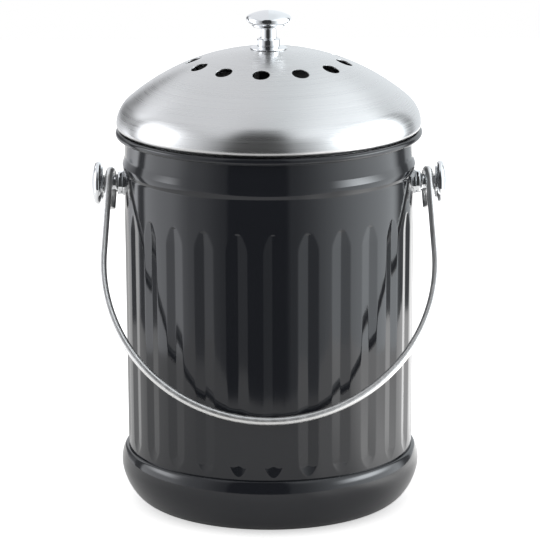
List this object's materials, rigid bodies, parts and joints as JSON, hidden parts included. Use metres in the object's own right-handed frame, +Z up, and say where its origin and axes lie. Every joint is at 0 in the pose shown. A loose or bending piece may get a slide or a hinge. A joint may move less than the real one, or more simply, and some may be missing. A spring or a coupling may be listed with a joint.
{
  "type": "compost caddy with hinged lid",
  "caption": "Countertop compost caddy: fluted round steel pail, domed vented lift-off lid with knob and filter, swinging wire bail handle on side knobs.",
  "frame": {"origin": "centre of the base on the table", "axes": "+Z up through the lid knob, -Y towards the front where the handle rests, +X along the handle's pivots"},
  "size_m": [0.2134, 0.184, 0.3008],
  "materials": {
    "black_coat": "gloss black coat on pressed steel",
    "brushed_lid": "stainless steel brushed around the axis",
    "polished": "polished chrome",
    "wire_steel": "bright drawn steel wire",
    "zinc": "zinc-plated steel",
    "holder_plastic": "matte moulded plastic",
    "carbon_felt": "carbon-filled felt"
  },
  "bodies": {
    "caddy": {"pail_shell": "black_coat", "rim_wire": "zinc", "base_cup": "black_coat", "left_pivot_washer": "polished", "right_pivot_washer": "polished", "left_pivot_knob": "polished", "right_pivot_knob": "polished", "left_backing_washer": "zinc", "right_backing_washer": "zinc", "left_pivot_screw": "zinc", "right_pivot_screw": "zinc"},
    "handle": {"bail_handle": "wire_steel"},
    "lid": {"lid_dome": "brushed_lid", "lid_locating_ring": "brushed_lid", "lid_knob_flange": "polished", "lid_knob": "polished", "lid_knob_screw": "zinc", "lid_screw_washer": "zinc", "filter_holder": "holder_plastic", "charcoal_filter": "carbon_felt"}
  },
  "joints": [
    {"name": "handle_swing", "type": "hinge", "parent": "caddy", "child": "handle", "pos_m": [0, 0, 0.1963], "axis": [-1, 0, 0], "range_deg": [0, 288]},
    {"name": "lid_lift", "type": "slide", "parent": "caddy", "child": "lid", "axis": [0, 0, 1], "range_m": [0, 0.12]}
  ]
}
